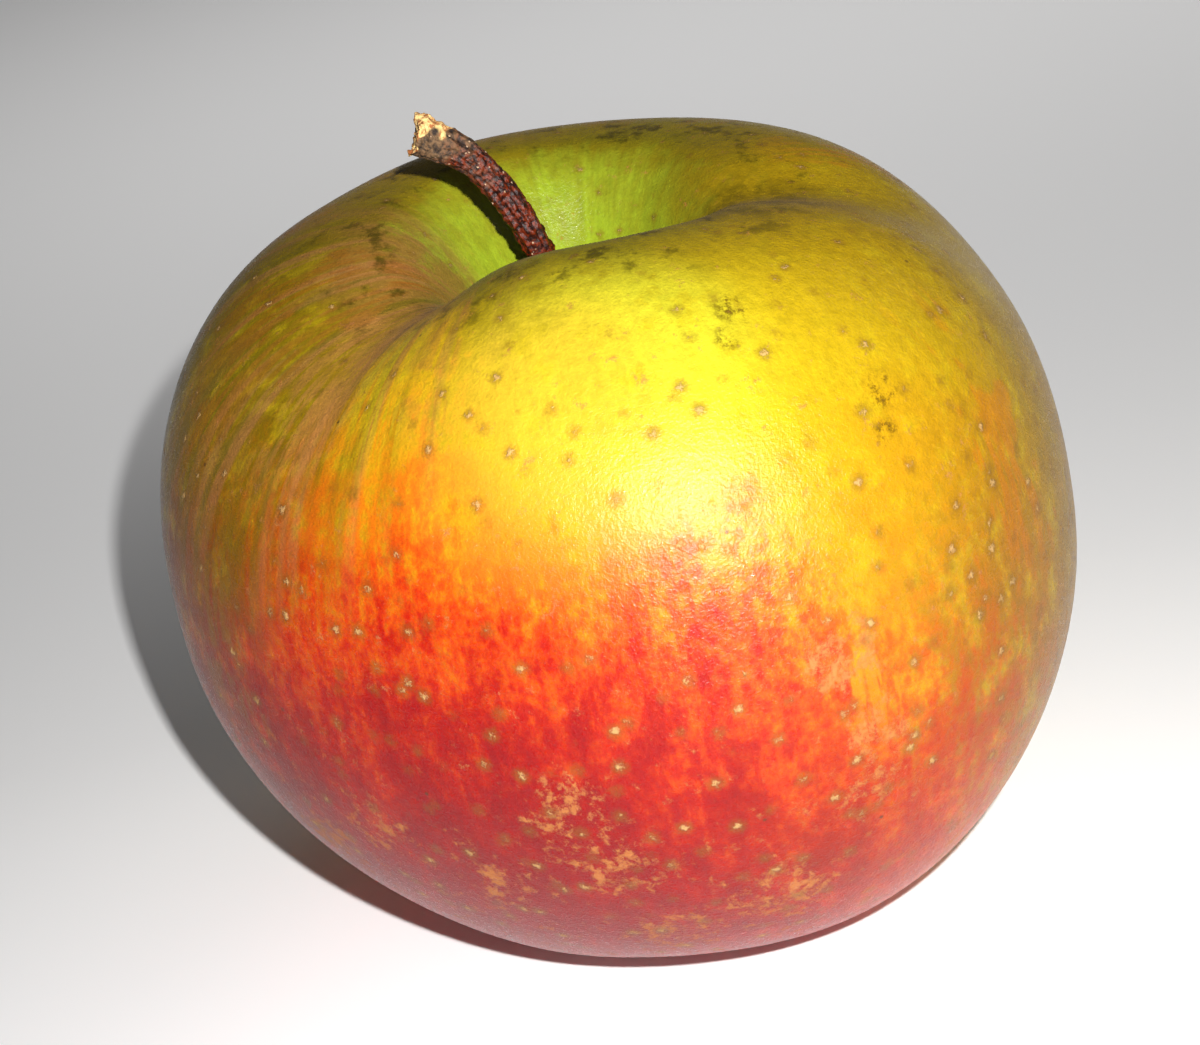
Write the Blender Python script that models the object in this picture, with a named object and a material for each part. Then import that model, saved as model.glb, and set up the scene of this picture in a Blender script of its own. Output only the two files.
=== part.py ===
"""An apple at rest: the fruit, its woody stem, and the dried calyx in the basin underneath.

Run it with: blender --background --python part.py
Units are metres. +Z is the apple's own axis, from the calyx end up to the stem end, and the
origin is the middle of the footprint, on the surface that the apple stands on.
"""

import math

import bmesh
import bpy
from mathutils import Matrix, Vector
from mathutils.geometry import interpolate_bezier

# Clearance that touching pieces keep to each other.
GAP = 0.0003

# The fruit: its outline in the plane of the axis.
FRUIT_DIAMETER = 0.080
EQUATOR_HEIGHT = 0.0339
SHOULDER_HEIGHT = 0.0653
SHOULDER_CREST_RADIUS = 0.0166
CAVITY_DEPTH = 0.0140
BASE_RING_RADIUS = 0.0137
BASIN_DEPTH = 0.0062
EYE_RADIUS = 0.0030
EYE_DEPTH = 0.0012
# How far each curve's handles reach, as a share of the span that they shape.
UPPER_SIDE_FULLNESS = 0.61
SHOULDER_FULLNESS = 0.66
LOWER_SIDE_FULLNESS = 0.48
BASE_FULLNESS = 0.52
CAVITY_LIP_ROUNDING = 0.49
CAVITY_FLOOR_WIDTH = 0.43
BASIN_ROUNDING = 0.45

# How the grown fruit departs from a turned one: (waves round the axis, height, azimuth of a crest).
GIRTH_WAVES = ((2, 0.00133, 128), (3, 0.00101, 60))
SHOULDER_WAVES = ((1, 0.0004, 248), (2, 0.0010, 108), (3, 0.0005, 26))
# Furrows that run over the shoulder into the cavity: (azimuth, half width in degrees, depth).
FURROWS = ((213, 26, 0.0031), (352, 15.6, 0.0018), (138, 20, 0.0006))
BASE_LOBES = 5
BASE_LOBE_HEIGHT = 0.0009
BASE_LOBE_AZIMUTH = 18
# The lowest stretch of each base lobe is pressed flat where the apple rests.
REST_FLAT_DEPTH = 0.00045

# The stem: seated in the cavity floor, rising and then bending over the shoulder.
STEM_DIAMETER = 0.0024
STEM_BASE_DIAMETER = 0.0031
STEM_TIP_DIAMETER = 0.0042
STEM_RISE = 0.0222
STEM_REACH = 0.0104
STEM_AZIMUTH = 180
STEM_SEAT_DEPTH = 0.0012
# Bezier handles as shares of reach and rise.
STEM_FOOT_HANDLE = (0.115, 0.39)
STEM_TOP_HANDLE = (0.385, 0.90)

# The dried calyx.
SEPALS = 5
SEPAL_WIDTH = 0.0026
SEPAL_THICKNESS = 0.00045
SEPAL_REACH = 0.0040
SEPAL_CURL = 0.0014
TUFT_CLEARANCE = 0.0019
FILAMENT_LENGTH = 0.0019

# How finely the curves are cut into facets.
FRUIT_SEGMENTS = 60
SPAN_STEPS = {"cavity": 10, "upper side": 12, "lower side": 13, "basin": 9, "eye": 3}
STEM_STEPS = 16
STEM_SIDES = 12


def clear_scene():
    for found in list(bpy.data.objects):
        bpy.data.objects.remove(found, do_unlink=True)


def principled(name, colour, roughness):
    """A material whose Principled BSDF has this colour and roughness."""
    material = bpy.data.materials.new(name)
    material.use_nodes = True
    shader = material.node_tree.nodes["Principled BSDF"]
    shader.inputs["Base Color"].default_value = (*colour, 1)
    shader.inputs["Roughness"].default_value = roughness
    shader.inputs["Metallic"].default_value = 0
    return material


def add_piece(name, mesh, material, parent):
    """One named object, shaded smooth, on the apple's axis."""
    piece = bpy.data.objects.new(name, mesh)
    bpy.context.scene.collection.objects.link(piece)
    piece.data.materials.append(material)
    piece.parent = parent
    return piece


def mesh_from(shape, name):
    """Turns a finished bmesh into a smooth-shaded mesh with its faces pointing out."""
    bmesh.ops.recalc_face_normals(shape, faces=shape.faces)
    mesh = bpy.data.meshes.new(name)
    shape.to_mesh(mesh)
    shape.free()
    mesh.shade_smooth()
    return mesh


def curve_points(start, start_handle, end_handle, end, steps):
    """Points (r, z) along one Bezier span, without its last point."""
    corners = [Vector((r, 0, z)) for r, z in (start, start_handle, end_handle, end)]
    return interpolate_bezier(*corners, steps + 1)[:-1]


def blend(value, low, high):
    """A smooth step from 0 at low to 1 at high."""
    share = min(max((value - low) / (high - low), 0), 1)
    return share * share * (3 - 2 * share)


def angle_between(azimuth, other):
    """The signed angle from one azimuth to another, within half a turn."""
    return (azimuth - other + math.pi) % math.tau - math.pi


# ---- The fruit ----

def cavity_floor():
    return SHOULDER_HEIGHT - CAVITY_DEPTH


def stem_lean():
    """The slope, sideways over up, at which the stem leaves its seat."""
    return STEM_FOOT_HANDLE[0] * STEM_REACH / (STEM_FOOT_HANDLE[1] * (STEM_RISE + STEM_SEAT_DEPTH))


def seat_radius():
    """The socket in the cavity floor, wide enough for the stem's foot and its slight lean."""
    return STEM_BASE_DIAMETER / 2 + GAP + stem_lean() * STEM_SEAT_DEPTH


def fruit_outline():
    """The outline from the stem's seat, over the shoulder and down, round to the eye."""
    girth = FRUIT_DIAMETER / 2
    floor = cavity_floor()
    seat = seat_radius()
    crest = (SHOULDER_CREST_RADIUS, SHOULDER_HEIGHT)
    equator = (girth, EQUATOR_HEIGHT)
    ring = (BASE_RING_RADIUS, 0)
    eye = (EYE_RADIUS, BASIN_DEPTH)
    cavity_width = SHOULDER_CREST_RADIUS - seat
    basin_width = BASE_RING_RADIUS - EYE_RADIUS
    points = [Vector((0, 0, floor - STEM_SEAT_DEPTH)), Vector((seat, 0, floor - STEM_SEAT_DEPTH))]
    points += curve_points(
        (seat, floor),
        (seat + CAVITY_FLOOR_WIDTH * cavity_width, floor),
        (crest[0] - CAVITY_LIP_ROUNDING * cavity_width, SHOULDER_HEIGHT),
        crest,
        SPAN_STEPS["cavity"],
    )
    points += curve_points(
        crest,
        (crest[0] + SHOULDER_FULLNESS * (girth - crest[0]), SHOULDER_HEIGHT),
        (girth, EQUATOR_HEIGHT + UPPER_SIDE_FULLNESS * (SHOULDER_HEIGHT - EQUATOR_HEIGHT)),
        equator,
        SPAN_STEPS["upper side"],
    )
    points += curve_points(
        equator,
        (girth, EQUATOR_HEIGHT * (1 - LOWER_SIDE_FULLNESS)),
        (ring[0] + BASE_FULLNESS * (girth - ring[0]), 0),
        ring,
        SPAN_STEPS["lower side"],
    )
    points += curve_points(
        ring,
        (ring[0] - BASIN_ROUNDING * basin_width, 0),
        (eye[0] + BASIN_ROUNDING * basin_width, BASIN_DEPTH),
        eye,
        SPAN_STEPS["basin"],
    )
    points += curve_points(
        eye,
        (eye[0] * 0.8, BASIN_DEPTH + EYE_DEPTH * 0.6),
        (eye[0] * 0.4, BASIN_DEPTH + EYE_DEPTH),
        (0, BASIN_DEPTH + EYE_DEPTH),
        SPAN_STEPS["eye"],
    )
    return [*points, Vector((0, 0, BASIN_DEPTH + EYE_DEPTH))]


def waves(terms, azimuth):
    return sum(height * math.cos(count * (azimuth - math.radians(crest))) for count, height, crest in terms)


def grow(point):
    """Moves one point of the turned fruit to where it grew, with lobes, shoulders and furrows."""
    radius = math.hypot(point.x, point.y)
    azimuth = math.atan2(point.y, point.x)
    shoulder = blend(point.z, EQUATOR_HEIGHT, SHOULDER_HEIGHT)
    in_cavity = radius < SHOULDER_CREST_RADIUS and point.z > EQUATOR_HEIGHT
    if in_cavity:
        shoulder = blend(radius, seat_radius(), SHOULDER_CREST_RADIUS)
    furrowed = shoulder ** 1.5
    lift = waves(SHOULDER_WAVES, azimuth) * shoulder
    for place, half_width, depth in FURROWS:
        offset = angle_between(azimuth, math.radians(place)) / math.radians(half_width)
        lift -= depth * furrowed * math.exp(-offset * offset)
    off_eye = blend(radius, EYE_RADIUS, BASE_RING_RADIUS)
    near_base = off_eye * (1 - blend(point.z, 0, EQUATOR_HEIGHT * 0.6))
    lobe = math.cos(BASE_LOBES * (azimuth - math.radians(BASE_LOBE_AZIMUTH)))
    lift += BASE_LOBE_HEIGHT / 2 * (1 - lobe) * near_base
    full = blend(radius, max(seat_radius(), EYE_RADIUS), SHOULDER_CREST_RADIUS)
    stretch = 1 + waves(GIRTH_WAVES, azimuth) / (FRUIT_DIAMETER / 2) * full
    return Vector((point.x * stretch, point.y * stretch, point.z + lift))


def make_fruit():
    shape = bmesh.new()
    outline = [shape.verts.new(point) for point in fruit_outline()]
    edges = [shape.edges.new(pair) for pair in zip(outline, outline[1:])]
    bmesh.ops.spin(
        shape,
        geom=outline + edges,
        cent=(0, 0, 0),
        axis=(0, 0, 1),
        angle=math.tau,
        steps=FRUIT_SEGMENTS,
        use_merge=True,
    )
    bmesh.ops.remove_doubles(shape, verts=shape.verts, dist=1e-6)
    for vertex in shape.verts:
        vertex.co = grow(vertex.co)
        vertex.co.z = max(vertex.co.z, REST_FLAT_DEPTH) - REST_FLAT_DEPTH
    return mesh_from(shape, "fruit")


def footprint_middle(mesh):
    """The middle of the mesh's box, on the ground."""
    spans = [sorted(vertex.co[side] for vertex in mesh.vertices) for side in (0, 1)]
    return Vector([(span[0] + span[-1]) / 2 for span in spans] + [0])


# ---- The stem ----

def stem_radius(share):
    """Radius at a share of the stem's length: a flared foot, a slim neck and a swollen tip."""
    neck = STEM_DIAMETER / 2
    foot = STEM_BASE_DIAMETER / 2 - neck
    tip = STEM_TIP_DIAMETER / 2 - neck
    return neck + foot * (1 - blend(share, 0, 0.3)) + tip * blend(share, 0.62, 0.97)


def make_stem():
    tilted_edge = stem_lean() * STEM_BASE_DIAMETER / 2
    foot = cavity_floor() - STEM_SEAT_DEPTH + GAP + tilted_edge - REST_FLAT_DEPTH
    rise = STEM_RISE + STEM_SEAT_DEPTH
    corners = [(0, 0), STEM_FOOT_HANDLE, STEM_TOP_HANDLE, (1, 1)]
    corners = [Vector((reach * STEM_REACH, 0, foot + up * rise)) for reach, up in corners]
    path = interpolate_bezier(*corners, STEM_STEPS + 1)
    curve = bpy.data.curves.new("stem", "CURVE")
    curve.dimensions = "3D"
    curve.bevel_depth = 1
    curve.bevel_resolution = STEM_SIDES // 4
    curve.use_fill_caps = True
    spline = curve.splines.new("POLY")
    spline.points.add(len(path) - 1)
    for number, (knot, place) in enumerate(zip(spline.points, path)):
        knot.co = (*place, 1)
        knot.radius = stem_radius(number / STEM_STEPS)
    spline.use_smooth = True
    return curve


# ---- The calyx ----

def make_sepal(number):
    """One withered sepal: a pointed leaf that leans in over the eye and curls out at its tip."""
    reach = SEPAL_REACH * (1 + 0.10 * math.cos(2.4 * number))
    curl = SEPAL_CURL * (1 + 0.35 * math.sin(1.7 * number))
    top = BASIN_DEPTH - REST_FLAT_DEPTH - GAP - SEPAL_THICKNESS / 2
    root = EYE_RADIUS + SEPAL_THICKNESS
    spine = interpolate_bezier(
        Vector((root, 0, top)),
        Vector((root - SEPAL_THICKNESS, 0, top - reach * 0.45)),
        Vector((root * 0.42, 0, top - reach * 0.65)),
        Vector((root * 0.5 + curl, 0, top - reach)),
        7,
    )
    shape = bmesh.new()
    rows = []
    for step, place in enumerate(spine):
        share = step / (len(spine) - 1)
        half = SEPAL_WIDTH / 2 * (1 - share ** 1.4) * (1 - 0.42 * blend(share, 0, 0.5)) + 0.00012
        cup = -0.25 * half
        row = [place + Vector((cup * abs(side), side * half, 0)) for side in (-1, 0, 1)]
        rows.append([shape.verts.new(corner) for corner in row])
    for low, high in zip(rows, rows[1:]):
        for side in (0, 1):
            shape.faces.new((low[side], low[side + 1], high[side + 1], high[side]))
    bmesh.ops.recalc_face_normals(shape, faces=shape.faces)
    bmesh.ops.solidify(shape, geom=shape.faces[:], thickness=SEPAL_THICKNESS)
    return mesh_from(shape, f"sepal_{number + 1}")


def make_stamen_tuft():
    """The withered stamens: a small boss in the eye with blunt filaments standing out of it."""
    shape = bmesh.new()
    radius = EYE_RADIUS - TUFT_CLEARANCE
    seat = BASIN_DEPTH + EYE_DEPTH - REST_FLAT_DEPTH - GAP - radius
    bmesh.ops.create_icosphere(shape, subdivisions=1, radius=radius)
    outward = [face for face in shape.faces if face.normal.z < -0.1]
    bmesh.ops.inset_individual(shape, faces=outward, thickness=radius * 0.12)
    for face in bmesh.ops.extrude_discrete_faces(shape, faces=outward)["faces"]:
        away = (face.normal + Vector((0, 0, -1.5))).normalized()
        bmesh.ops.translate(shape, verts=face.verts, vec=away * FILAMENT_LENGTH)
        middle = Matrix.Translation(-face.calc_center_median())
        bmesh.ops.scale(shape, verts=face.verts, vec=(0.45, 0.45, 0.45), space=middle)
    bmesh.ops.translate(shape, verts=shape.verts, vec=(0, 0, seat))
    return mesh_from(shape, "stamen_tuft")


def main():
    clear_scene()
    skin = principled("apple_skin", (0.78, 0.36, 0.07), 0.38)
    bark = principled("stem_bark", (0.11, 0.035, 0.018), 0.45)
    withered = principled("dried_calyx", (0.16, 0.10, 0.05), 0.85)
    stamens = principled("dried_stamens", (0.09, 0.055, 0.03), 0.9)

    fruit_mesh = make_fruit()
    axis = bpy.data.objects.new("apple_axis", None)
    bpy.context.scene.collection.objects.link(axis)
    axis.location = -footprint_middle(fruit_mesh)

    add_piece("fruit", fruit_mesh, skin, axis)
    stem = add_piece("stem", make_stem(), bark, axis)
    stem.rotation_euler.z = math.radians(STEM_AZIMUTH)
    for number in range(SEPALS):
        sepal = add_piece(f"sepal_{number + 1}", make_sepal(number), withered, axis)
        sepal.rotation_euler.z = math.tau * number / SEPALS
    add_piece("stamen_tuft", make_stamen_tuft(), stamens, axis)


main()
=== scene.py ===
# %% [markdown]
# # A ripe apple
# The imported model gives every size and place. This script dresses it: it makes a smooth grown
# skin, a warty stem and a withered calyx, paints them with procedural materials, and sets up a
# pale floor, soft light and a camera. Everything is in metres, with +Z up the apple's own axis.

# %% Load the model that the pieces are built around
import math

import bmesh
import bpy
from mathutils import Matrix, Vector, noise


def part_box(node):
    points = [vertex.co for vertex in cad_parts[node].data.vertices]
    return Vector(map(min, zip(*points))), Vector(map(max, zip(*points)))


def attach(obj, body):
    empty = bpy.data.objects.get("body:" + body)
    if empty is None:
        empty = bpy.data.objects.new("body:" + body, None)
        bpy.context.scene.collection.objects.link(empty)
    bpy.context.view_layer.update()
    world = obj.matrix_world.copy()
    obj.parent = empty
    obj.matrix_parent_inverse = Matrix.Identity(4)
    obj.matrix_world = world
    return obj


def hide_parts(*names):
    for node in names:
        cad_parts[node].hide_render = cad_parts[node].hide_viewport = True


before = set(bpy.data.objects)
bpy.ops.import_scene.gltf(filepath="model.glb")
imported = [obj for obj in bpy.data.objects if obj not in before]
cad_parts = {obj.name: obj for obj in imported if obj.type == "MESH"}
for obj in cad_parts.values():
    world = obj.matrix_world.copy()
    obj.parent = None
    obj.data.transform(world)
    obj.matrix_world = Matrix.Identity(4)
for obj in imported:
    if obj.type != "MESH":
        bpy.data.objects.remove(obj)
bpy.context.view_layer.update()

MILLIMETRE = 0.001
print("nodes:", ", ".join(sorted(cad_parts)))

# %% [markdown]
# The apple grew round an axis that doesn't pass exactly through the middle of its box. The foot
# of the stem stands on that axis, so the axis can be measured from the stem's lowest ring. The heart
# is a point on the axis, a little below the middle of the fruit, from which directions are taken.

# %% Find the axis and the heart of the fruit
def lowest_ring_middle(node, depth):
    """The middle of a node's points within this depth of its lowest point."""
    points = [vertex.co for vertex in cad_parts[node].data.vertices]
    low = min(point.z for point in points)
    ring = [point for point in points if point.z < low + depth]
    return sum(ring, Vector()) / len(ring)


stem_foot = lowest_ring_middle("stem", 0.6 * MILLIMETRE)
axis_x, axis_y = stem_foot.x, stem_foot.y
HEART_HEIGHT = 33 * MILLIMETRE
heart = Vector((axis_x, axis_y, HEART_HEIGHT))
print("axis in mm:", round(axis_x / MILLIMETRE, 2), round(axis_y / MILLIMETRE, 2))

# %% [markdown]
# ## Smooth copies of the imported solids
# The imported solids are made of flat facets, which is all that collision needs. A smooth copy can
# be made by welding the facets, pairing the triangles into quads and subdividing them. Subdividing
# draws a shape in a little. So the control points are first moved out until the smooth surface
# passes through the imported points, and the copy is then fitted to the box of its node.

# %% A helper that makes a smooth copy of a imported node
WELD = 0.00001


def smooth_copy(node, name, levels):
    """A new object with the node's shape, subdivided this many times, ready to be worked on."""
    shape = bmesh.new()
    shape.from_mesh(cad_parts[node].data)
    bmesh.ops.remove_doubles(shape, verts=shape.verts, dist=WELD)
    wide_open = math.radians(60)
    bmesh.ops.join_triangles(
        shape, faces=shape.faces, angle_face_threshold=wide_open, angle_shape_threshold=wide_open
    )
    mesh = bpy.data.meshes.new(name)
    shape.to_mesh(mesh)
    shape.free()
    piece = bpy.data.objects.new(name, mesh)
    bpy.context.scene.collection.objects.link(piece)
    rounding = piece.modifiers.new("rounding", "SUBSURF")
    rounding.levels = rounding.render_levels = levels
    settle(piece)
    evaluated = piece.evaluated_get(bpy.context.evaluated_depsgraph_get())
    piece.data = bpy.data.meshes.new_from_object(evaluated)
    piece.data.name = name
    piece.modifiers.clear()
    piece.data.shade_smooth()
    fill_box(piece, *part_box(node))
    return piece


def settle(piece):
    """Moves the control points until the smooth surface passes through where they began."""
    wanted = [vertex.co.copy() for vertex in piece.data.vertices]
    for _ in range(3):
        evaluated = piece.evaluated_get(bpy.context.evaluated_depsgraph_get())
        reached = [vertex.co.copy() for vertex in evaluated.data.vertices[: len(wanted)]]
        for vertex, goal, place in zip(piece.data.vertices, wanted, reached):
            vertex.co += (goal - place) * 0.9
        piece.data.update()
    furthest = max((goal - place).length for goal, place in zip(wanted, reached))
    print(piece.name, "was off by mm:", round(furthest / MILLIMETRE, 3))


def fill_box(piece, low, high):
    """Stretches a piece along each axis until it just fills the box between these corners."""
    points = [vertex.co for vertex in piece.data.vertices]
    for axis in range(3):
        least = min(point[axis] for point in points)
        most = max(point[axis] for point in points)
        for point in points:
            point[axis] = low[axis] + (point[axis] - least) * (high[axis] - low[axis]) / (most - least)


def smooth_step(value, low, high):
    """0 at low, 1 at high, and an easy curve between them."""
    share = min(max((value - low) / (high - low), 0), 1)
    return share * share * (3 - 2 * share)


# %% [markdown]
# ## The skin
# A real apple is never a perfect turned shape. Its skin has broad shallow flats, fine dimples,
# creases that run down into the stem cavity, and puckers round the eye. They are small, so each
# vertex is simply pushed inwards along its normal by a little noise and a few waves. The flesh also
# swells up in a low collar round the foot of the stem, which hides the seat that the stem stands in.

# %% Shape the skin
SKIN_LEVELS = 2
COLLAR_HEIGHT = 0.8 * MILLIMETRE
COLLAR_INNER, COLLAR_OUTER = 1.4 * MILLIMETRE, 3.6 * MILLIMETRE
CAVITY_FLOOR = stem_foot.z + 0.75 * MILLIMETRE


def unevenness(point):
    """How far the skin lies inside the smooth shape at this point, in millimetres."""
    offset = point - heart
    radius = math.hypot(offset.x, offset.y)
    azimuth = math.atan2(offset.y, offset.x)
    broad = 0.5 + 0.5 * noise.noise(point * 70)
    dimpled = 0.5 + 0.5 * noise.noise(point * 210)
    wander = 2.5 * noise.noise(point * 90)
    on_top = smooth_step(offset.z, 0, 0.01)
    in_cavity = on_top * smooth_step(radius, COLLAR_INNER, 0.006) * (1 - smooth_step(radius, 0.009, 0.022))
    in_basin = (1 - on_top) * smooth_step(radius, 0.002, 0.006) * (1 - smooth_step(radius, 0.008, 0.020))
    creases = 0.5 + 0.5 * math.cos(9 * azimuth + wander)
    puckers = 0.5 + 0.5 * math.cos(10 * azimuth + wander)
    off_ground = smooth_step(point.z, 0, 0.004)
    off_rest = smooth_step(point.z, 0.0004, 0.003)
    sides = (0.16 * broad + 0.035 * dimpled) * off_ground
    return sides + 0.16 * creases * in_cavity + 0.40 * puckers * in_basin * off_rest


skin = smooth_copy("fruit", "apple_skin", SKIN_LEVELS)
outwards = [vertex.normal.copy() for vertex in skin.data.vertices]
for vertex, normal in zip(skin.data.vertices, outwards):
    sunk = unevenness(vertex.co) * MILLIMETRE
    off_axis = math.hypot(vertex.co.x - axis_x, vertex.co.y - axis_y)
    vertex.co -= normal * sunk
    if vertex.co.z > HEART_HEIGHT and off_axis < COLLAR_OUTER:
        swell = 1 - smooth_step(off_axis, COLLAR_INNER, COLLAR_OUTER)
        vertex.co.z = max(vertex.co.z, CAVITY_FLOOR) + COLLAR_HEIGHT * swell
skin.data.update()
print("skin faces:", len(skin.data.polygons))

# %% [markdown]
# ## Painting with nodes
# Every finish here is procedural: noise, spots and masks are mixed into colour, roughness and bump.
# The same few kinds of node come back again and again, so a small class gives each one a short
# name. A value may be a number, a colour or the output of another node.

# %% A short way to write node trees
class Paint:
    """The node tree of one finish."""

    def __init__(self, name):
        self.material = bpy.data.materials.new(name)
        self.material.use_nodes = True
        self.tree = self.material.node_tree
        self.shader = self.tree.nodes["Principled BSDF"]

    def feed(self, socket, value):
        """Links another node's output to this input, or sets the input to a constant."""
        if isinstance(value, bpy.types.NodeSocket):
            self.tree.links.new(value, socket)
        elif value is not None:
            socket.default_value = value

    def node(self, kind, values=(), **settings):
        made = self.tree.nodes.new("ShaderNode" + kind)
        for setting, choice in settings.items():
            setattr(made, setting, choice)
        for socket, value in zip(made.inputs, values):
            self.feed(socket, value)
        return made

    def maths(self, operation, first, second=None, third=None):
        return self.node("Math", (first, second, third), operation=operation).outputs[0]

    def vectors(self, operation, first, second=None, output=0):
        return self.node("VectorMath", (first, second), operation=operation).outputs[output]

    def stretch(self, at, scale, move=(0, 0, 0)):
        """Coordinates moved and then scaled, each axis by its own amount."""
        mapping = self.node("Mapping", (at,))
        mapping.inputs["Scale"].default_value = scale
        mapping.inputs["Location"].default_value = move
        return mapping.outputs[0]

    def noise(self, at, size, detail=3, roughness=0.55, coloured=False):
        """Cloudy noise whose blotches are about this size, in the coordinates' own units."""
        made = self.node("TexNoise")
        self.feed(made.inputs["Vector"], at)
        made.inputs["Scale"].default_value = 1 / size
        made.inputs["Detail"].default_value = detail
        made.inputs["Roughness"].default_value = roughness
        return made.outputs["Color" if coloured else "Fac"]

    def spots(self, at, spacing):
        """Distance to the nearest of many scattered points, in the coordinates' own units."""
        made = self.node("TexVoronoi")
        self.feed(made.inputs["Vector"], at)
        made.inputs["Scale"].default_value = 1 / spacing
        return self.maths("MULTIPLY", made.outputs["Distance"], spacing)

    def step(self, value, low, high):
        """0 below low and 1 above high, smoothly; with low above high it falls instead."""
        made = self.node("MapRange", interpolation_type="SMOOTHSTEP")
        self.feed(made.inputs["Value"], value)
        if low > high:
            made.inputs["To Min"].default_value, made.inputs["To Max"].default_value = 1, 0
            low, high = high, low
        made.inputs["From Min"].default_value = low
        made.inputs["From Max"].default_value = high
        return made.outputs[0]

    def mix(self, share, first, second, way="MIX"):
        made = self.node("Mix", data_type="RGBA", blend_type=way)
        self.feed(made.inputs[0], share)
        self.feed(made.inputs[6], first)
        self.feed(made.inputs[7], second)
        return made.outputs[2]

    def ramp(self, value, stops):
        """Colours along a value; each stop is its position and its colour."""
        made = self.node("ValToRGB", (value,))
        elements = made.color_ramp.elements
        while len(elements) < len(stops):
            elements.new(1)
        for element, (position, tint) in zip(elements, stops):
            element.position = position
            element.color = tint
        return made.outputs[0]

    def relief(self, height, depth_mm=1.0):
        """A bump from heights in millimetres."""
        made = self.node("Bump")
        made.inputs["Distance"].default_value = depth_mm * MILLIMETRE
        self.feed(made.inputs["Height"], height)
        self.feed(self.shader.inputs["Normal"], made.outputs[0])


def colour(red, green, blue):
    """A colour as it looks on screen, 0 to 255, as the linear values that a shader needs."""
    parts = [part / 255 for part in (red, green, blue)]
    return (*[part / 12.92 if part < 0.04 else ((part + 0.055) / 1.055) ** 2.4 for part in parts], 1)


# %% [markdown]
# ## Where a point of the skin is
# An apple's markings follow its growth. Streaks run down from the stem like lines of longitude, and
# the blush sits on the side that faced the sun. So the skin is painted in three coordinates: a
# direction from the heart of the fruit, an angle down from the stem end, and a stretched
# coordinate in which round noise becomes long streaks.

# %% Coordinates for the skin
def direction(azimuth, polar):
    """A unit vector, from degrees round the axis and degrees down from the stem end."""
    turn = math.radians(azimuth)
    fall = math.radians(polar)
    out = math.sin(fall)
    return Vector((out * math.cos(turn), out * math.sin(turn), math.cos(fall)))


class SkinPaint(Paint):
    """A finish for the fruit, which knows the fruit's own coordinates."""

    def __init__(self, name):
        super().__init__(name)
        place = self.node("TexCoord").outputs["Object"]
        self.at = self.stretch(place, (1000, 1000, 1000), -1000 * heart)
        self.facing = self.vectors("NORMALIZE", self.at)
        split = self.node("SeparateXYZ", (self.at,)).outputs
        flat = self.node("CombineXYZ", (split[0], split[1])).outputs[0]
        off_axis = self.vectors("LENGTH", flat, output=1)
        self.polar = self.maths("ARCTAN2", off_axis, split[2])
        outward = self.vectors("NORMALIZE", flat)
        joined = self.node("SeparateXYZ", (outward,)).outputs
        self.around = self.node("CombineXYZ", (joined[0], joined[1], self.polar)).outputs[0]

    def towards(self, azimuth, polar):
        """1 where the skin faces this direction, falling to -1 on the far side."""
        return self.vectors("DOT_PRODUCT", self.facing, direction(azimuth, polar), output=1)

    def patch(self, azimuth, polar, inner, outer):
        """1 within inner degrees of a direction, fading to 0 at outer degrees."""
        inner, outer = math.cos(math.radians(inner)), math.cos(math.radians(outer))
        return self.step(self.towards(azimuth, polar), outer, inner)

    def band(self, low, full, fade, end):
        """A belt round the fruit, in degrees down from the stem end."""
        rise = self.step(self.polar, math.radians(low), math.radians(full))
        fall = self.step(self.polar, math.radians(end), math.radians(fade))
        return self.maths("MULTIPLY", rise, fall)

    def streaks(self, width, length, detail=3, move=0):
        """Noise drawn out down the fruit; width and length are in degrees."""
        across, down = 1 / math.radians(width), 1 / math.radians(length)
        return self.noise(self.stretch(self.around, (across, across, down), (move, 0, move)), 1, detail)

    def stripe(self, azimuth, half_width, low, full, fade, end):
        """One streak down the fruit at an azimuth, with an uneven edge."""
        side = direction(azimuth, 90)
        wobble = self.maths("MULTIPLY_ADD", self.noise(self.at, 6), 0.10, -0.05)
        outward = self.vectors("DOT_PRODUCT", self.around, side, output=1)
        soft = self.maths("ADD", outward, self.maths("MULTIPLY", wobble, half_width / 12))
        edge = math.cos(math.radians(half_width))
        core = math.cos(math.radians(half_width * 0.3))
        return self.maths("MULTIPLY", self.step(soft, edge, core), self.band(low, full, fade, end))

# %% [markdown]
# ## The colours of the skin
# Three layers make the colour. The ground runs from lime green in the stem cavity, through olive on
# the shoulder, to golden yellow on the sides. The blush covers the side that faced the sun: there
# the colour climbs from gold through orange and red to crimson. The more directly a point faces the
# sun, the further it climbs. Noise shifts that climb a little everywhere, in streaks, clouds and
# flecks, so no two colours meet on a clean line.

# %% Ground and blush
SUN = (243, 121)
GROUND = (
    (0.00, colour(134, 160, 38)),
    (0.105, colour(138, 156, 34)),
    (0.145, colour(116, 104, 16)),
    (0.190, colour(146, 124, 14)),
    (0.240, colour(170, 146, 18)),
    (0.340, colour(172, 148, 18)),
    (0.620, colour(166, 128, 16)),
    (0.860, colour(140, 118, 30)),
    (1.00, colour(112, 104, 34)),
)
BLUSH = (
    (0.00, colour(174, 146, 16)),
    (0.20, colour(184, 128, 14)),
    (0.32, colour(188, 100, 12)),
    (0.44, colour(184, 72, 10)),
    (0.56, colour(174, 50, 8)),
    (0.68, colour(156, 26, 7)),
    (0.82, colour(138, 12, 8)),
    (1.00, colour(122, 9, 13)),
)
paint = SkinPaint("ripe_apple_skin")
paint.shader.inputs["Base Color"].default_value = colour(170, 90, 20)
down = paint.maths("DIVIDE", paint.polar, math.pi)
sunward = paint.towards(*SUN)
clouds = paint.noise(paint.at, 11, 3)
long_streaks = paint.streaks(4.0, 55, 3)
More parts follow.
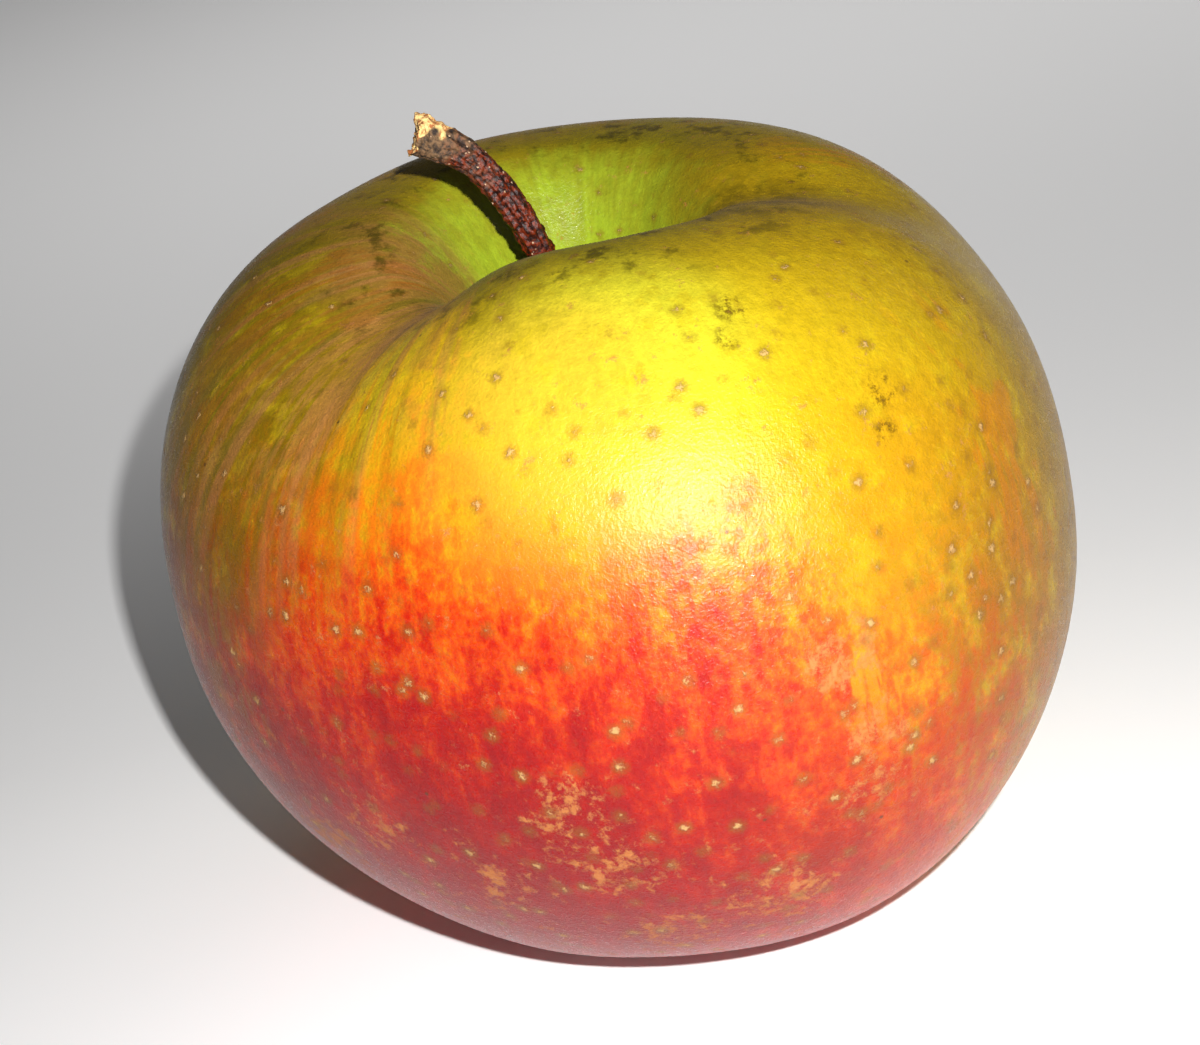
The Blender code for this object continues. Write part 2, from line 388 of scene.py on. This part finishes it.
short_streaks = paint.step(paint.streaks(1.3, 14, 4, move=3), 0.28, 0.72)
flecks = paint.step(paint.noise(paint.stretch(paint.at, (1, 1, 0.7)), 0.8, 4, 0.66), 0.30, 0.70)
mottle = paint.step(paint.noise(paint.stretch(paint.at, (1, 1, 0.75)), 2.8, 6, 0.66), 0.28, 0.72)
grain = paint.noise(paint.at, 0.26, 3, 0.6)
print("blush faces azimuth and polar angle:", SUN)

# %% Mix the ground and the blush
def weighted(base, *terms):
    """A value with several noises added, each centred on nothing and given its own weight."""
    total = base
    for source, weight in terms:
        total = paint.maths("ADD", total, paint.maths("MULTIPLY_ADD", source, 2 * weight, -weight))
    return total


ground_place = weighted(down, (long_streaks, 0.014), (clouds, 0.030), (mottle, 0.008))
ground = paint.ramp(ground_place, GROUND)
climb = weighted(
    sunward,
    (clouds, 0.12),
    (long_streaks, 0.12),
    (short_streaks, 0.05),
    (mottle, 0.10),
    (flecks, 0.10),
)
BLUSH_START = 0.18
past_start = paint.maths("SUBTRACT", climb, BLUSH_START)
blush = paint.ramp(paint.maths("DIVIDE", past_start, 1 - BLUSH_START), BLUSH)
skin_colour = paint.mix(paint.step(climb, 0.06, 0.36), ground, blush)
print("blush colours:", len(BLUSH), "ground colours:", len(GROUND))

# %% [markdown]
# ## Streaks, smudges and painted light
# Round the stem the skin is marked by weather: olive and mauve-brown streaks run out of the cavity
# and down the furrows, and the shoulder has sooty olive smudges. Broad patches are paler or darker
# than the skin round them, and a streak of another colour shows here and there. Three of the pale
# patches are partly painted light: a pale yellow one on the front shoulder is partly a painted
# highlight, and two in the left furrow are painted lighter against the shade there. A few small scabs
# are dark and ragged. Each is a soft patch or a stripe with a noisy edge, placed by its azimuth
# round the axis and its polar angle down from the stem end, both in degrees.

# %% Streaks, smudges and patches of painted light
# Each patch: azimuth, polar angle, full within and gone beyond this angle, tint, strength.
PATCHES_AND_PAINTED_LIGHT = (
    # Partly the skin's own pale yellow, partly a painted highlight on the front shoulder.
    (272, 47, 4, 20, colour(186, 186, 44), 0.70),
    (262, 52, 4, 20, colour(190, 140, 34), 0.60),
    # These two are partly the furrow's own paler streak and partly painted light, lighter against the shade
    # in the furrow.
    (223, 37, 4, 15, colour(204, 156, 34), 0.80),
    (231, 43, 3, 14, colour(206, 158, 22), 0.65),
    (231, 54, 3, 13, colour(204, 116, 14), 0.55),
    (213, 62, 4, 18, colour(140, 66, 8), 0.45),
    (310, 62, 6, 26, colour(172, 138, 14), 0.50),
    (324, 42, 4, 18, colour(164, 136, 12), 0.60),
    (305, 72, 4, 20, colour(168, 100, 10), 0.45),
    (328, 88, 10, 36, colour(122, 74, 8), 0.55),
    (304, 104, 8, 34, colour(132, 48, 12), 0.35),
    (350, 48, 12, 42, colour(140, 108, 8), 0.60),
    (182, 54, 14, 42, colour(98, 76, 6), 0.75),
    (190, 22, 6, 17, colour(136, 98, 42), 0.80),
    (206, 15, 3, 12, colour(128, 112, 44), 0.70),
    (194, 92, 8, 36, colour(98, 20, 10), 0.75),
    (58, 72, 10, 50, colour(150, 144, 26), 0.60),
    (122, 62, 8, 44, colour(180, 146, 28), 0.55),
    (96, 112, 10, 45, colour(140, 124, 32), 0.50),
)
for azimuth, polar, inner, outer, tint, strength in PATCHES_AND_PAINTED_LIGHT:
    share = paint.maths("MULTIPLY", paint.patch(azimuth, polar, inner, outer), strength)
    blotchy = paint.maths("MULTIPLY", share, paint.step(mottle, -0.3, 0.6))
    skin_colour = paint.mix(blotchy, skin_colour, tint)

weathered = paint.patch(202, 44, 12, 40)
mauve = paint.maths("MULTIPLY", weathered, paint.step(paint.streaks(5, 50, 4, move=5), 0.47, 0.60))
skin_colour = paint.mix(paint.maths("MULTIPLY", mauve, 0.60), skin_colour, colour(150, 100, 58))
olive = paint.maths("MULTIPLY", weathered, paint.step(paint.streaks(4, 40, 4, move=9), 0.50, 0.62))
skin_colour = paint.mix(paint.maths("MULTIPLY", olive, 0.60), skin_colour, colour(92, 84, 8))

# Each stripe: azimuth, half width, polar angles where it starts, fills, fades and ends, tint, strength.
STRIPES = (
    (216, 14, (12, 22, 46, 66), colour(172, 118, 60), 0.60),
    (197, 7, (12, 22, 56, 84), colour(134, 84, 26), 0.55),
    (206, 6, (36, 50, 80, 100), colour(116, 88, 16), 0.55),
    (184, 10, (20, 26, 44, 60), colour(128, 70, 16), 0.45),
    (233, 8, (26, 36, 46, 60), colour(172, 158, 16), 0.55),
    (243, 5, (26, 34, 44, 54), colour(160, 104, 40), 0.40),
    (290.5, 1.9, (54, 62, 84, 98), colour(190, 132, 16), 0.50),
    (318, 5, (48, 60, 78, 92), colour(176, 90, 16), 0.35),
    (331, 6, (36, 48, 86, 104), colour(126, 100, 20), 0.45),
)
FAR_STREAKS = (16, 46, 71, 104, 129, 152)
FAR_REACH = (28, 42, 84, 112)
STRIPES += tuple((azimuth, 7, FAR_REACH, colour(178, 104, 24), 0.40) for azimuth in FAR_STREAKS)
for azimuth, half_width, reach, tint, strength in STRIPES:
    share = paint.maths("MULTIPLY", paint.stripe(azimuth, half_width, *reach), strength)
    broken = paint.maths("MULTIPLY", share, paint.step(short_streaks, 0.22, 0.55))
    skin_colour = paint.mix(broken, skin_colour, tint)

smudge_cloud = paint.noise(paint.at, 3.6, 6, 0.68)
net = paint.noise(paint.at, 1.7, 8, 0.80)
smudges = paint.maths("MULTIPLY", paint.step(smudge_cloud, 0.53, 0.66), paint.band(23, 27, 31, 42))
sooty = paint.maths("MULTIPLY", paint.step(smudge_cloud, 0.38, 0.56), paint.patch(338, 27, 3, 15))
smudges = paint.maths("MULTIPLY", paint.maths("MAXIMUM", smudges, sooty), 0.80)
skin_colour = paint.mix(smudges, skin_colour, colour(60, 52, 6))

# Each scab: azimuth, polar angle, size.
SCABS = ((292, 44, 2.6), (289, 47, 1.8), (304, 58, 2.6), (302, 62, 2.0))
for azimuth, polar, size in SCABS:
    spot = paint.patch(azimuth, polar, size * 0.2, size)
    ragged = paint.maths("MULTIPLY", spot, paint.step(net, 0.46, 0.60))
    skin_colour = paint.mix(paint.maths("MULTIPLY", ragged, 0.90), skin_colour, colour(70, 46, 8))

grainy = weighted(1.0, (flecks, 0.10), (short_streaks, 0.05), (grain, 0.16))
grey = paint.node("CombineColor", (grainy, grainy, grainy)).outputs[0]
skin_colour = paint.mix(1.0, skin_colour, grey, "MULTIPLY")
print("patches:", len(PATCHES_AND_PAINTED_LIGHT), "streaks:", len(STRIPES), "scabs:", len(SCABS))

# %% [markdown]
# ## Russet
# Russet is a thin corky layer that forms where the skin has cracked as it grew. It lies in tan
# patches with a netted edge, mostly on the lower half. A fine noise is lifted above its threshold
# inside a few soft patches, so each patch breaks up into a net by itself.

# %% Russet patches
RUSSET = colour(176, 112, 56)
# Each patch: azimuth, polar angle, size.
RUSSET_PATCHES = (
    (257, 94, 8), (261, 103, 8), (289, 81, 6), (292, 90, 6), (290, 98, 5),
    (229, 101, 8), (245, 109, 9), (280, 112, 10), (266, 120, 10), (215, 108, 9),
    (20, 95, 9), (95, 104, 10), (140, 88, 8),
)
lift = paint.maths("MULTIPLY", paint.band(80, 112, 140, 160), 0.035)
for azimuth, polar, size in RUSSET_PATCHES:
    near = paint.maths("MULTIPLY", paint.patch(azimuth, polar, 0, size), 0.11)
    lift = paint.maths("MAXIMUM", lift, near)
russet = paint.step(paint.maths("ADD", net, lift), 0.585, 0.70)
skin_colour = paint.mix(paint.maths("MULTIPLY", russet, 0.80), skin_colour, RUSSET)
print("russet patches:", len(RUSSET_PATCHES))

# %% [markdown]
# ## Lenticels
# The pale dots on an apple are lenticels, the pores that it breathes through. Each is about a
# millimetre wide: a corky cream centre, a little raised, in a darker greenish ring. Scattered points
# in space make them. The skin cuts through the small balls round those points, so the dots
# come in many sizes. The coordinates are shaken a little first, which turns the discs into small stars.

# %% Lenticels and specks
shake = paint.noise(paint.at, 0.35, 3, 0.7, coloured=True)
shaken = paint.vectors("ADD", paint.at, paint.vectors("MULTIPLY", shake, (1.1, 1.1, 1.1)))
from_pore = paint.spots(shaken, 2.7)
pore_size = paint.maths("MULTIPLY_ADD", paint.band(20, 70, 120, 170), 0.30, 0.48)
from_pore = paint.maths("DIVIDE", from_pore, pore_size)
halo = paint.step(from_pore, 1.35, 0.35)
pore = paint.step(from_pore, 0.52, 0.18)
skin_colour = paint.mix(paint.maths("MULTIPLY", halo, 0.52), skin_colour, colour(110, 76, 22))
skin_colour = paint.mix(paint.maths("MULTIPLY", pore, 0.75), skin_colour, colour(184, 146, 92))

SPECK_SPACING = 5.5
speck = paint.step(paint.spots(paint.vectors("ADD", paint.at, (40, 0, 9)), SPECK_SPACING), 0.24, 0.10)
skin_colour = paint.mix(paint.maths("MULTIPLY", speck, 0.8), skin_colour, colour(70, 44, 22))
print("pores about 1 mm wide")

# %% [markdown]
# ## Gloss and relief
# A ripe apple has a thin natural wax. It is satin rather than shiny, and its highlight glitters
# because the skin is finely pebbled. Corky places are matt. Constant values are set straight on the
# shader, and only roughness follows the markings.

# %% Gloss and relief
satin = paint.maths("MULTIPLY_ADD", paint.step(grain, 0.55, 0.66), -0.17, 0.31)
corky = paint.maths("MAXIMUM", paint.maths("MULTIPLY", russet, 0.8), pore)
paint.feed(paint.shader.inputs["Roughness"], paint.maths("MULTIPLY_ADD", corky, 0.25, satin))
paint.feed(paint.shader.inputs["Base Color"], skin_colour)
paint.shader.inputs["Specular IOR Level"].default_value = 0.18
paint.shader.inputs["Sheen Weight"].default_value = 0.02
paint.shader.inputs["Sheen Roughness"].default_value = 0.35
paint.shader.inputs["Sheen Tint"].default_value = colour(250, 214, 214)
pebbles = paint.noise(paint.at, 0.9, 2)
height = paint.maths("MULTIPLY", grain, 0.075)
height = paint.maths("MULTIPLY_ADD", pebbles, 0.060, height)
height = paint.maths("MULTIPLY_ADD", pore, 0.060, height)
height = paint.maths("MULTIPLY_ADD", russet, 0.020, height)
paint.relief(height)
print("relief from grain, pebbles and pores")

# %% [markdown]
# ## The stem
# The stem is a woody stalk, thin at the foot and wider where it once joined the twig. Its bark has
# long ridges and small warts. A spine is found first: the middles of slices cut across the line from
# foot to tip. Every vertex then knows how far along the stem it is and on which side of the spine,
# and the ridges follow the bend. The broken end is left ragged.

# %% Find the spine of the stem
stem = smooth_copy("stem", "stem_bark", 4)
tip = max((vertex.co for vertex in stem.data.vertices), key=lambda point: (point - stem_foot).length).copy()
chord = tip - stem_foot
SLICES = 16
slices = [[] for _ in range(SLICES)]
for vertex in stem.data.vertices:
    share = (vertex.co - stem_foot).dot(chord) / chord.length_squared
    slices[min(max(int(share * SLICES), 0), SLICES - 1)].append(vertex.co.copy())
spine = [sum(points, Vector()) / len(points) for points in slices]
growth = (spine[-1] - spine[-4]).normalized()
across = Vector((0, 1, 0))
upward = across.cross(chord).normalized()
print("stem length in mm:", round(chord.length / MILLIMETRE, 1))


# %% Shape the bark
def spine_at(share):
    """The spine's point at this share of the way from the foot to the tip."""
    place = min(max(share * SLICES - 0.5, 0), SLICES - 1.001)
    return spine[int(place)].lerp(spine[int(place) + 1], place % 1)


# Each pair: how far along the stem, and how thick there.
THICKNESS = ((0, 0.98), (0.16, 0.84), (0.40, 0.98), (0.62, 1.04), (0.80, 0.90), (1.0, 0.70))
TIP_DROOP = 0.7 * MILLIMETRE


def thickness(share):
    """How thick the bark stands at this share of the way, against the plain stem."""
    for (start, before), (end, after) in zip(THICKNESS, THICKNESS[1:]):
        if share < end:
            return before + (after - before) * smooth_step(share, start, end)
    return THICKNESS[-1][1]


along = stem.data.attributes.new("along", "FLOAT", "POINT")
torn = stem.data.attributes.new("torn", "FLOAT", "POINT")
stem_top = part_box("stem")[1].z
outwards = [vertex.normal.copy() for vertex in stem.data.vertices]
for index, (vertex, normal) in enumerate(zip(stem.data.vertices, outwards)):
    share = min(max((vertex.co - stem_foot).dot(chord) / chord.length_squared, 0), 1)
    middle = spine_at(share)
    offset = vertex.co - middle
    angle = math.atan2(offset.dot(upward), offset.dot(across))
    ring = Vector((2.4 * math.cos(angle), 2.4 * math.sin(angle), 4 * share))
    ridge = noise.noise(ring) + 0.5 * noise.noise(ring * 2.3)
    warts = max(noise.noise(vertex.co * 1150), 0) + 0.5 * noise.noise(vertex.co * 2600)
    end_face = smooth_step(normal.dot(growth), 0.55, 0.85) * smooth_step(share, 0.86, 0.93)
    ragged = 0.5 + 0.7 * noise.noise(vertex.co * 900) + 0.4 * noise.noise(vertex.co * 2300)
    free = smooth_step(share, 0.06, 0.16)
    grown = offset * (1 + (thickness(share) - 1) * free * (1 - end_face))
    relief_mm = (0.20 * ridge + 0.26 * warts) * (1 - end_face) * free
    vertex.co = middle + grown + normal * relief_mm * MILLIMETRE
    vertex.co -= growth * max(ragged, 0) * end_face * 0.8 * MILLIMETRE
    vertex.co.z -= TIP_DROOP * smooth_step(share, 0.6, 1)
    vertex.co.z = min(vertex.co.z, stem_top)
    along.data[index].value = share
    frayed = share + 0.10 * normal.z + 0.07 * noise.noise(vertex.co * 700)
    torn.data[index].value = max(end_face, smooth_step(frayed, 0.93, 0.98))
stem.data.update()
print("stem faces:", len(stem.data.polygons))

# %% [markdown]
# Fresh bark is dark red-brown and shiny. Towards the tip it has weathered to grey-brown, and pale
# pores are scattered over all of it. The broken end shows cream wood stained red-brown. Two painted
# attributes, how far along and how torn, steer these colours.

# %% Paint the bark
bark = Paint("apple_stem_bark")
bark.at = bark.stretch(bark.node("TexCoord").outputs["Object"], (1000, 1000, 1000))
how_far = bark.node("Attribute", attribute_name="along").outputs["Fac"]
how_torn = bark.node("Attribute", attribute_name="torn").outputs["Fac"]
fine = bark.noise(bark.at, 0.45, 5, 0.65)
coarse = bark.noise(bark.at, 1.5, 4, 0.6)
BARK = (
    (0.30, colour(14, 7, 5)),
    (0.46, colour(46, 14, 6)),
    (0.60, colour(118, 40, 10)),
    (0.74, colour(60, 34, 20)),
)
fresh = bark.ramp(fine, BARK)
film = bark.maths("MULTIPLY", bark.step(coarse, 0.52, 0.64), 0.20)
fresh = bark.mix(film, fresh, colour(66, 50, 48))
old_bark = bark.mix(bark.step(fine, 0.35, 0.65), colour(34, 24, 18), colour(116, 92, 62))
aged = bark.maths("ADD", how_far, bark.maths("MULTIPLY_ADD", coarse, 0.5, -0.25))
bark_colour = bark.mix(bark.maths("MULTIPLY", bark.step(aged, 0.66, 0.92), 0.85), fresh, old_bark)
fleck = bark.step(bark.spots(bark.at, 0.75), 0.13, 0.06)
bark_colour = bark.mix(bark.maths("MULTIPLY", fleck, 0.8), bark_colour, colour(206, 170, 136))
wood = bark.mix(bark.step(fine, 0.42, 0.62), colour(232, 196, 128), colour(150, 84, 40))
bark_colour = bark.mix(bark.step(how_torn, 0.15, 0.55), bark_colour, wood)
bark.feed(bark.shader.inputs["Base Color"], bark_colour)
dullness = bark.maths("MAXIMUM", bark.step(aged, 0.66, 0.92), how_torn)
bark.feed(bark.shader.inputs["Roughness"], bark.maths("MULTIPLY_ADD", dullness, 0.34, 0.42))
bark.shader.inputs["Specular IOR Level"].default_value = 0.25
bark.relief(bark.maths("MULTIPLY_ADD", fine, 0.16, bark.maths("MULTIPLY", fleck, 0.05)))
print("bark colours:", len(BARK))

# %% [markdown]
# ## The calyx
# At the bottom of the fruit the dried flower is still there: five withered sepals folded over the
# eye, and the tuft of stamens between them. They're brittle and crinkled, so their smooth copies are
# shaken by fine noise. The sepals share one grey-brown finish mottled darker by noise, and the tuft
# has a darker finish of its own.

# %% Shape and paint the calyx
dried = Paint("dried_sepal")
dried.at = dried.stretch(dried.node("TexCoord").outputs["Object"], (1000, 1000, 1000))
crinkle = dried.noise(dried.at, 0.5, 5, 0.65)
dried_colour = dried.mix(dried.step(crinkle, 0.35, 0.65), colour(66, 48, 30), colour(150, 126, 86))
dried.feed(dried.shader.inputs["Base Color"], dried_colour)
dried.shader.inputs["Roughness"].default_value = 0.8
dried.shader.inputs["Sheen Weight"].default_value = 0.3
dried.relief(crinkle, 0.12)

threads = Paint("dried_stamen")
threads.at = threads.stretch(threads.node("TexCoord").outputs["Object"], (1000, 1000, 300))
strands = threads.noise(threads.at, 0.35, 4, 0.6)
threads_colour = threads.mix(threads.step(strands, 0.4, 0.6), colour(30, 20, 14), colour(104, 78, 50))
threads.feed(threads.shader.inputs["Base Color"], threads_colour)
threads.shader.inputs["Roughness"].default_value = 0.85
threads.relief(strands, 0.2)


def crinkled_copy(node, name, depth_mm):
    """A smooth copy whose surface is shaken inwards by fine noise."""
    piece = smooth_copy(node, name, 2)
    normals = [vertex.normal.copy() for vertex in piece.data.vertices]
    for vertex, normal in zip(piece.data.vertices, normals):
        wrinkle = 0.5 + 0.5 * noise.noise(vertex.co * 1400)
        vertex.co -= normal * wrinkle * depth_mm * MILLIMETRE
    piece.data.update()
    return piece


dressed = [
    (skin, "fruit", paint.material, "apple_skin"),
    (stem, "stem", bark.material, "stem_bark"),
    (crinkled_copy("stamen_tuft", "stamens", 0.10), "stamen_tuft", threads.material, "dried_stamens"),
]
for number in range(1, 6):
    sepal = crinkled_copy(f"sepal_{number}", f"calyx_leaf_{number}", 0.06)
    dressed.append((sepal, f"sepal_{number}", dried.material, "dried_calyx"))
print("calyx pieces:", len(dressed) - 2)

# %% Put every finish on its piece and every piece in its node's place
for piece, node, finish, slot in dressed:
    piece.data.materials.clear()
    piece.data.materials.append(finish)
    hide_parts(node)
    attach(piece, "root")
print("dressed:", ", ".join(sorted(piece.name for piece, *_ in dressed)))

# %% [markdown]
# ## The stage, the light and the camera
# The apple stands on a white floor with a dim pale surround. A small key lamp just above and right
# of the camera lights it from the front and leaves a thin dark shadow at its left edge. A wider
# lamp adds only the gloss. Two dimmer lamps light the far side and the floor behind.

# %% Floor and surround
floor_shape = bmesh.new()
bmesh.ops.create_grid(floor_shape, x_segments=1, y_segments=1, size=3)
floor_mesh = bpy.data.meshes.new("floor")
floor_shape.to_mesh(floor_mesh)
floor_shape.free()
floor = bpy.data.objects.new("floor", floor_mesh)
bpy.context.scene.collection.objects.link(floor)
FLOOR_GAP = 0.05 * MILLIMETRE
floor.location.z = -FLOOR_GAP
floor_paint = Paint("pale_floor")
floor_paint.shader.inputs["Base Color"].default_value = colour(249, 248, 247)
floor_paint.shader.inputs["Roughness"].default_value = 0.8
floor_mesh.materials.append(floor_paint.material)

surround = bpy.data.worlds.new("pale_surround")
surround.use_nodes = True
bpy.context.scene.world = surround
surround.node_tree.nodes["Background"].inputs["Color"].default_value = colour(236, 236, 240)
surround.node_tree.nodes["Background"].inputs["Strength"].default_value = 0.040
bpy.context.scene.view_settings.view_transform = "Standard"
print("surround:", surround.name)

# %% Camera
CAMERA_DISTANCE = 0.20315
CAMERA_ELEVATION = 27.5
CAMERA_ROLL = -12.24
CAMERA_LENS = 67.83
TARGET_HEIGHT = 33.55 * MILLIMETRE
camera = bpy.data.objects.new("camera", bpy.data.cameras.new("camera"))
bpy.context.scene.collection.objects.link(camera)
tilt = math.radians(CAMERA_ELEVATION)
back = Vector((0, -math.cos(tilt), math.sin(tilt)))
target = Vector((axis_x, axis_y, TARGET_HEIGHT))
camera.location = target + back * CAMERA_DISTANCE
camera.data.lens = CAMERA_LENS
camera.data.clip_start = 0.01
level = back.to_track_quat("Z", "Y").to_matrix()
rolled = level @ Matrix.Rotation(math.radians(CAMERA_ROLL), 3, "Z")
AIM = (-2.08 * MILLIMETRE, 0.21 * MILLIMETRE)
aim = target + rolled.col[0] * AIM[0] + rolled.col[1] * AIM[1]
looking = (camera.location - aim).to_track_quat("Z", "Y").to_matrix()
camera.rotation_euler = (looking @ Matrix.Rotation(math.radians(CAMERA_ROLL), 3, "Z")).to_euler()
bpy.context.scene.camera = camera
print("camera at mm:", [round(part / MILLIMETRE, 1) for part in camera.location])


# %% Lamps
def lamp(name, place, facing, size, watts):
    """A soft square lamp at a place, turned to shine along a direction."""
    light = bpy.data.objects.new(name, bpy.data.lights.new(name, "AREA"))
    bpy.context.scene.collection.objects.link(light)
    light.data.size = size
    light.data.energy = watts
    light.location = place
    light.rotation_euler = (-facing).to_track_quat("Z", "Y").to_euler()
    light.visible_camera = False
    return light


KEY_OFFSET = (12 * MILLIMETRE, 18 * MILLIMETRE)
key_place = camera.location + rolled.col[0] * KEY_OFFSET[0] + rolled.col[1] * KEY_OFFSET[1]
key = lamp("key", key_place, heart - key_place, size=0.004, watts=0.75)
key.visible_glossy = False

GLOSS_BEARING = Vector((0.08, -0.90, 0.32)).normalized()
GLOSS_DISTANCE = 0.62
gloss_place = heart + GLOSS_BEARING * GLOSS_DISTANCE
gloss = lamp("gloss", gloss_place, -GLOSS_BEARING, size=0.10, watts=13.0)
gloss.visible_diffuse = False

BEHIND = Vector((0.43, 0.34, 0.24))
back_light = lamp("back", BEHIND, heart - BEHIND, size=0.30, watts=0.6)
back_light.visible_glossy = False
OVERHEAD = Vector((0, 0.18, 0.36))
AWAY = Vector((0, 0.93, -0.37))
backdrop = lamp("backdrop", OVERHEAD, AWAY, size=0.20, watts=0.95)
backdrop.visible_glossy = False
